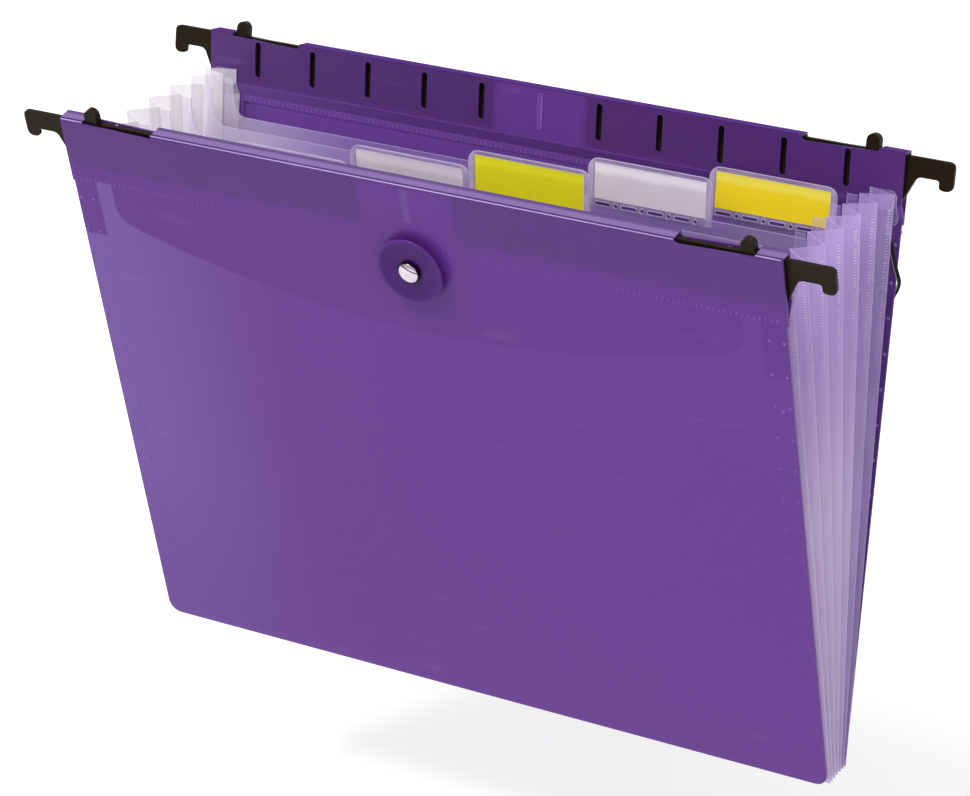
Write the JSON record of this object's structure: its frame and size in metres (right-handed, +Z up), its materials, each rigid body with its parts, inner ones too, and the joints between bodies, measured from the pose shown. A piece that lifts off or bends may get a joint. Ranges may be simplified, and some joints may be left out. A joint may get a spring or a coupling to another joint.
{
  "type": "hanging document pocket",
  "caption": "Translucent expanding file with accordion pockets, index tabs, a button and elastic closure and sliding hooks that hang from rails.",
  "frame": {"origin": "on the hanging line, midway between the two rails and between the sides, level with the hook seats", "axes": "+X along the file to the right seen from the front, +Y from the front panel to the back panel, +Z up"},
  "size_m": [0.3352, 0.1084, 0.2397],
  "materials": {
    "translucent_purple": "translucent, fine matt grain",
    "purple_plastic": "smooth",
    "frosted_clear": "frosted, clear",
    "frosted_lilac": "frosted, folded",
    "label_white": "plain card",
    "label_grey": "plain card",
    "label_lime": "plain card",
    "label_yellow": "plain card",
    "black_plastic": "satin moulded",
    "bright_metal": "polished",
    "black_elastic": "braided"
  },
  "bodies": {
    "back_panel": {"back_panel": "translucent_purple", "elastic_clip_left": "bright_metal", "elastic_clip_right": "bright_metal", "gusset_left": "frosted_lilac", "gusset_right": "frosted_lilac", "gusset_bottom": "frosted_lilac", "elastic_cord": "black_elastic"},
    "divider_6": {"divider_6": "frosted_clear", "tab_sleeve_6": "frosted_clear", "label_6": "label_yellow"},
    "divider_5": {"divider_5": "frosted_clear", "tab_sleeve_5": "frosted_clear", "label_5": "label_white"},
    "divider_4": {"divider_4": "frosted_clear", "tab_sleeve_4": "frosted_clear", "label_4": "label_lime"},
    "divider_3": {"divider_3": "frosted_clear", "tab_sleeve_3": "frosted_clear", "label_3": "label_grey"},
    "divider_2": {"divider_2": "frosted_clear", "tab_sleeve_2": "frosted_clear", "label_2": "label_white"},
    "divider_1": {"divider_1": "frosted_clear", "tab_sleeve_1": "frosted_clear", "label_1": "label_white"},
    "front_panel": {"front_panel": "translucent_purple", "button_spacer": "black_plastic", "button_rivet": "bright_metal", "rivet_washer": "bright_metal"},
    "button_disc": {"button_disc": "purple_plastic"},
    "hook_back_left": {"hook_back_left": "black_plastic"},
    "hook_back_right": {"hook_back_right": "black_plastic"},
    "hook_front_left": {"hook_front_left": "black_plastic"},
    "hook_front_right": {"hook_front_right": "black_plastic"}
  },
  "joints": [
    {"name": "pocket_7_fold", "type": "hinge", "parent": "back_panel", "child": "divider_6", "pos_m": [0, 0.0072, -0.22664], "axis": [-1, 0, 0], "range_deg": [0, 2.21]},
    {"name": "pocket_6_fold", "type": "hinge", "parent": "divider_6", "child": "divider_5", "pos_m": [0, 0.0048, -0.22664], "axis": [-1, 0, 0], "range_deg": [0, 3.1]},
    {"name": "pocket_5_fold", "type": "hinge", "parent": "divider_5", "child": "divider_4", "pos_m": [0, 0.0024, -0.22664], "axis": [-1, 0, 0], "range_deg": [0, 3.1]},
    {"name": "pocket_4_fold", "type": "hinge", "parent": "divider_4", "child": "divider_3", "pos_m": [0, 0, -0.22664], "axis": [-1, 0, 0], "range_deg": [0, 3.1], "deforming": ["gusset_left", "gusset_right", "gusset_bottom"]},
    {"name": "pocket_3_fold", "type": "hinge", "parent": "divider_3", "child": "divider_2", "pos_m": [0, -0.0024, -0.22664], "axis": [-1, 0, 0], "range_deg": [0, 3.1]},
    {"name": "pocket_2_fold", "type": "hinge", "parent": "divider_2", "child": "divider_1", "pos_m": [0, -0.0048, -0.22664], "axis": [-1, 0, 0], "range_deg": [0, 3.1]},
    {"name": "pocket_1_fold", "type": "hinge", "parent": "divider_1", "child": "front_panel", "pos_m": [0, -0.0072, -0.22664], "axis": [-1, 0, 0], "range_deg": [0, 2.21]},
    {"name": "hook_back_left_slide", "type": "slide", "parent": "back_panel", "child": "hook_back_left", "axis": [1, 0, 0], "range_m": [0, 0.0193]},
    {"name": "hook_back_right_slide", "type": "slide", "parent": "back_panel", "child": "hook_back_right", "axis": [-1, 0, 0], "range_m": [0, 0.0193]},
    {"name": "hook_front_left_slide", "type": "slide", "parent": "front_panel", "child": "hook_front_left", "axis": [1, 0, 0], "range_m": [0, 0.0193]},
    {"name": "hook_front_right_slide", "type": "slide", "parent": "front_panel", "child": "hook_front_right", "axis": [-1, 0, 0], "range_m": [0, 0.0193]},
    {"name": "button_disc_turn", "type": "hinge", "parent": "front_panel", "child": "button_disc", "pos_m": [0, -0.0475, -0.02662], "axis": [0, 0.9814, 0.1918], "continuous": true}
  ],
  "couplings": [
    {"joint": "pocket_7_fold", "follows": "pocket_4_fold", "ratio": 0.7097},
    {"joint": "pocket_6_fold", "follows": "pocket_4_fold", "ratio": 1},
    {"joint": "pocket_5_fold", "follows": "pocket_4_fold", "ratio": 1},
    {"joint": "pocket_3_fold", "follows": "pocket_4_fold", "ratio": 1},
    {"joint": "pocket_2_fold", "follows": "pocket_4_fold", "ratio": 1},
    {"joint": "pocket_1_fold", "follows": "pocket_4_fold", "ratio": 0.7097}
  ]
}
